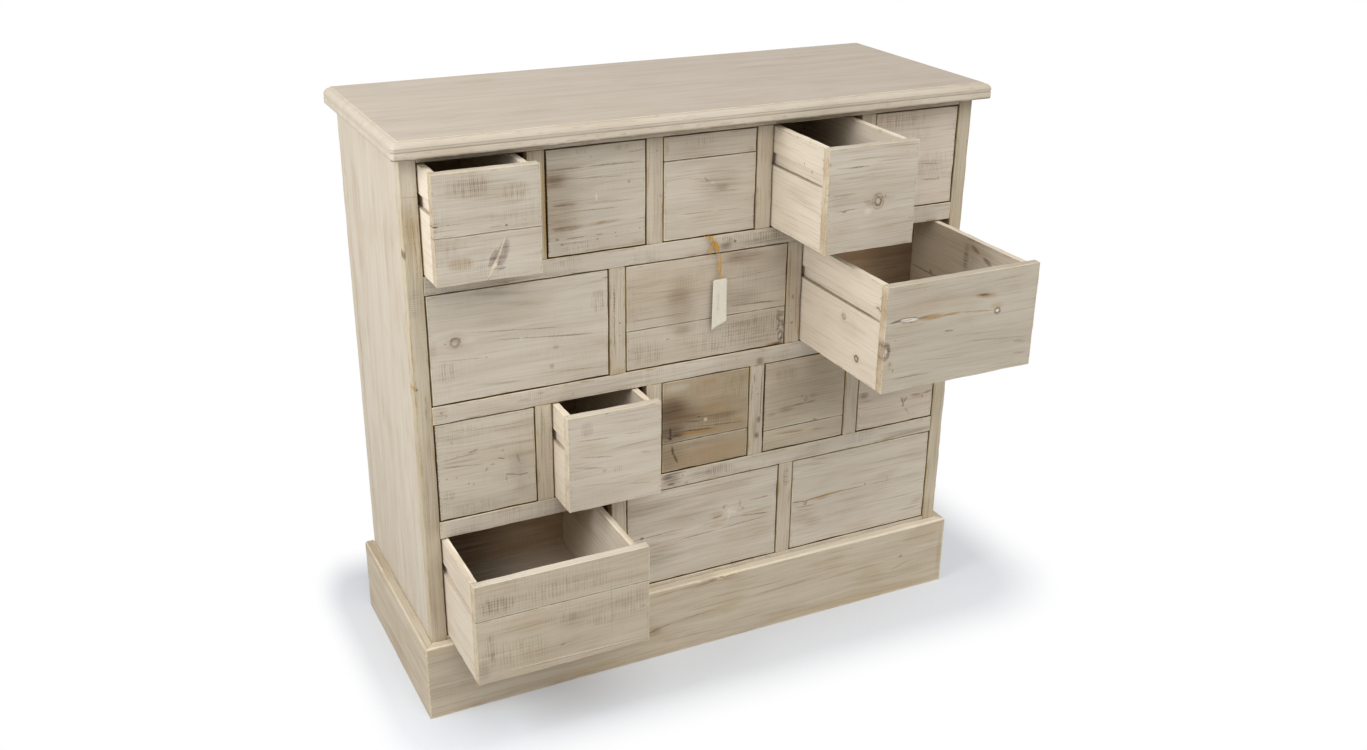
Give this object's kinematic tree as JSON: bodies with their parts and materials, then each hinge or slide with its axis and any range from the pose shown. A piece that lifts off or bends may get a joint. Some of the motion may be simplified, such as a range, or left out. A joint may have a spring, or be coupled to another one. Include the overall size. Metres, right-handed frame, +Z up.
{
  "type": "chest of drawers",
  "caption": "Low, wide chest of drawers in limewashed reclaimed pine: rows of small and large plain drawers in a face frame on a plinth, under a moulded top; some drawers stand open.",
  "frame": {"origin": "middle of the underside of the front plinth board, on the floor", "axes": "+X to the right along the front, +Y from the front to the back, +Z up"},
  "size_m": [1, 0.605, 0.95],
  "materials": {
    "carcase_pine": "unfinished pine inside the carcase",
    "top_pine": "limewashed pine, horizontal grain",
    "panel_pine": "limewashed pine, vertical grain",
    "frame_pine": "limewashed reclaimed pine with saw marks",
    "plinth_pine": "limewashed pine with a rubbed upper edge",
    "front_pine": "limewashed reclaimed pine with knots and saw marks",
    "drawer_pine": "pale thin wash over pine",
    "jute": "twisted jute",
    "tag_paper": "blank white card"
  },
  "bodies": {
    "carcase": {"top_board": "top_pine", "stile_left": "frame_pine", "stile_right": "frame_pine", "rail_lowest": "frame_pine", "rail_over_row_4": "frame_pine", "rail_over_row_3": "frame_pine", "rail_over_row_2": "frame_pine", "rail_top": "frame_pine", "mullions_large_rows": "frame_pine", "mullions_small_rows": "frame_pine", "side_panel_left": "panel_pine", "rear_post_left": "panel_pine", "side_panel_right": "panel_pine", "rear_post_right": "panel_pine", "back_panel": "carcase_pine", "bottom_board": "carcase_pine", "shelf_over_row_4": "carcase_pine", "shelf_over_row_3": "carcase_pine", "shelf_over_row_2": "carcase_pine", "partitions_large_rows": "carcase_pine", "partitions_small_rows": "carcase_pine", "runners_left": "carcase_pine", "runners_right": "carcase_pine", "plinth_front": "plinth_pine", "plinth_left": "plinth_pine", "plinth_right": "plinth_pine"},
    "row_1_drawer_1": {"row_1_drawer_1_front": "front_pine", "row_1_drawer_1_box": "drawer_pine"},
    "row_1_drawer_2": {"row_1_drawer_2_front": "front_pine", "row_1_drawer_2_box": "drawer_pine"},
    "row_1_drawer_3": {"row_1_drawer_3_front": "front_pine", "row_1_drawer_3_box": "drawer_pine"},
    "row_1_drawer_4": {"row_1_drawer_4_front": "front_pine", "row_1_drawer_4_box": "drawer_pine"},
    "row_1_drawer_5": {"row_1_drawer_5_front": "front_pine", "row_1_drawer_5_box": "drawer_pine"},
    "row_2_drawer_1": {"row_2_drawer_1_front": "front_pine", "row_2_drawer_1_box": "drawer_pine"},
    "row_2_drawer_2": {"row_2_drawer_2_front": "front_pine", "row_2_drawer_2_box": "drawer_pine", "tag_string": "jute", "paper_tag": "tag_paper"},
    "row_2_drawer_3": {"row_2_drawer_3_front": "front_pine", "row_2_drawer_3_box": "drawer_pine"},
    "row_3_drawer_1": {"row_3_drawer_1_front": "front_pine", "row_3_drawer_1_box": "drawer_pine"},
    "row_3_drawer_2": {"row_3_drawer_2_front": "front_pine", "row_3_drawer_2_box": "drawer_pine"},
    "row_3_drawer_3": {"row_3_drawer_3_front": "front_pine", "row_3_drawer_3_box": "drawer_pine"},
    "row_3_drawer_4": {"row_3_drawer_4_front": "front_pine", "row_3_drawer_4_box": "drawer_pine"},
    "row_3_drawer_5": {"row_3_drawer_5_front": "front_pine", "row_3_drawer_5_box": "drawer_pine"},
    "row_4_drawer_1": {"row_4_drawer_1_front": "front_pine", "row_4_drawer_1_box": "drawer_pine"},
    "row_4_drawer_2": {"row_4_drawer_2_front": "front_pine", "row_4_drawer_2_box": "drawer_pine"},
    "row_4_drawer_3": {"row_4_drawer_3_front": "front_pine", "row_4_drawer_3_box": "drawer_pine"}
  },
  "joints": [
    {"name": "row_1_drawer_1_slide", "type": "slide", "parent": "carcase", "child": "row_1_drawer_1", "axis": [0, -1, 0], "range_m": [-0.06, 0.19]},
    {"name": "row_1_drawer_2_slide", "type": "slide", "parent": "carcase", "child": "row_1_drawer_2", "axis": [0, -1, 0], "range_m": [0, 0.25]},
    {"name": "row_1_drawer_3_slide", "type": "slide", "parent": "carcase", "child": "row_1_drawer_3", "axis": [0, -1, 0], "range_m": [0, 0.25]},
    {"name": "row_1_drawer_4_slide", "type": "slide", "parent": "carcase", "child": "row_1_drawer_4", "axis": [0, -1, 0], "range_m": [-0.162, 0.088]},
    {"name": "row_1_drawer_5_slide", "type": "slide", "parent": "carcase", "child": "row_1_drawer_5", "axis": [0, -1, 0], "range_m": [0, 0.25]},
    {"name": "row_2_drawer_1_slide", "type": "slide", "parent": "carcase", "child": "row_2_drawer_1", "axis": [0, -1, 0], "range_m": [0, 0.25]},
    {"name": "row_2_drawer_2_slide", "type": "slide", "parent": "carcase", "child": "row_2_drawer_2", "axis": [0, -1, 0], "range_m": [0, 0.25]},
    {"name": "row_2_drawer_3_slide", "type": "slide", "parent": "carcase", "child": "row_2_drawer_3", "axis": [0, -1, 0], "range_m": [-0.243, 0.007]},
    {"name": "row_3_drawer_1_slide", "type": "slide", "parent": "carcase", "child": "row_3_drawer_1", "axis": [0, -1, 0], "range_m": [0, 0.25]},
    {"name": "row_3_drawer_2_slide", "type": "slide", "parent": "carcase", "child": "row_3_drawer_2", "axis": [0, -1, 0], "range_m": [-0.061, 0.189]},
    {"name": "row_3_drawer_3_slide", "type": "slide", "parent": "carcase", "child": "row_3_drawer_3", "axis": [0, -1, 0], "range_m": [0, 0.25]},
    {"name": "row_3_drawer_4_slide", "type": "slide", "parent": "carcase", "child": "row_3_drawer_4", "axis": [0, -1, 0], "range_m": [0, 0.25]},
    {"name": "row_3_drawer_5_slide", "type": "slide", "parent": "carcase", "child": "row_3_drawer_5", "axis": [0, -1, 0], "range_m": [0, 0.25]},
    {"name": "row_4_drawer_1_slide", "type": "slide", "parent": "carcase", "child": "row_4_drawer_1", "axis": [0, -1, 0], "range_m": [-0.153, 0.097]},
    {"name": "row_4_drawer_2_slide", "type": "slide", "parent": "carcase", "child": "row_4_drawer_2", "axis": [0, -1, 0], "range_m": [0, 0.25]},
    {"name": "row_4_drawer_3_slide", "type": "slide", "parent": "carcase", "child": "row_4_drawer_3", "axis": [0, -1, 0], "range_m": [0, 0.25]}
  ]
}
